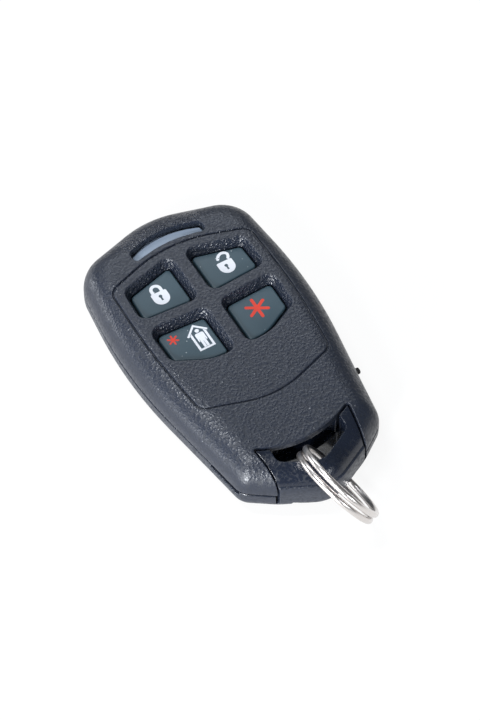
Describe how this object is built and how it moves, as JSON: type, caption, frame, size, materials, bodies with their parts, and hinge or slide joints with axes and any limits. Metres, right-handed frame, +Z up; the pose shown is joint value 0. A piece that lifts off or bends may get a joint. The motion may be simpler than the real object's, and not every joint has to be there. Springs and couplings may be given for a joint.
{
  "type": "alarm key fob",
  "caption": "Flat alarm key fob with recessed soft keys on a grained plastic case, a light window at one end and a split ring hung in a loop at the other.",
  "frame": {"origin": "middle of the flat back, on the surface that the fob lies on", "axes": "+Z up out of the keys, +Y along the case to the light end, +X to the right when the keys are read"},
  "size_m": [0.0374, 0.0752, 0.0166],
  "materials": {
    "case_plastic": "fine leather-like grain",
    "pipe_plastic": "smooth, slightly milky",
    "silicone": "smooth satin",
    "carbon": "matt",
    "board": "solder mask",
    "gold_plate": "plated",
    "copper_track": "printed track",
    "lamp": "clear",
    "cell_steel": "brushed",
    "chip_plastic": "matt",
    "ring_steel": "bright nickel plate"
  },
  "bodies": {
    "rear_case": {"rear_shell": "case_plastic"},
    "front_case": {"front_shell": "case_plastic", "light_pipe": "pipe_plastic", "keypad_sheet": "silicone", "lock_skirt": "silicone", "unlock_skirt": "silicone", "stay_skirt": "silicone", "star_skirt": "silicone", "circuit_board": "board", "contact_pads": "gold_plate", "antenna_loop": "copper_track", "indicator_led": "lamp", "coin_cell": "cell_steel", "cell_clip": "cell_steel", "cell_contact": "gold_plate", "transmitter_chip": "chip_plastic", "crystal_can": "cell_steel", "chip_parts": "chip_plastic"},
    "lock_button": {"lock_key": "silicone", "lock_pill": "carbon"},
    "unlock_button": {"unlock_key": "silicone", "unlock_pill": "carbon"},
    "stay_button": {"stay_key": "silicone", "stay_pill": "carbon"},
    "star_button": {"star_key": "silicone", "star_pill": "carbon"},
    "key_ring": {"split_ring": "ring_steel"}
  },
  "joints": [
    {"name": "case_lift", "type": "slide", "parent": "rear_case", "child": "front_case", "axis": [0, 0, 1], "range_m": [0, 0.014]},
    {"name": "lock_press", "type": "slide", "parent": "front_case", "child": "lock_button", "axis": [0, 0, -1], "range_m": [0, 0.00075], "stiffness_N_per_m": 1200, "deforming": ["lock_skirt"]},
    {"name": "unlock_press", "type": "slide", "parent": "front_case", "child": "unlock_button", "axis": [0, 0, -1], "range_m": [0, 0.00075], "stiffness_N_per_m": 1200, "deforming": ["unlock_skirt"]},
    {"name": "stay_press", "type": "slide", "parent": "front_case", "child": "stay_button", "axis": [0, 0, -1], "range_m": [0, 0.00075], "stiffness_N_per_m": 1200, "deforming": ["stay_skirt"]},
    {"name": "star_press", "type": "slide", "parent": "front_case", "child": "star_button", "axis": [0, 0, -1], "range_m": [0, 0.00075], "stiffness_N_per_m": 1200, "deforming": ["star_skirt"]},
    {"name": "ring_tip", "type": "hinge", "parent": "rear_case", "child": "key_ring", "pos_m": [0.0003, -0.0341, 0.00872], "axis": [0, 1, 0], "range_deg": [0, 48]}
  ]
}
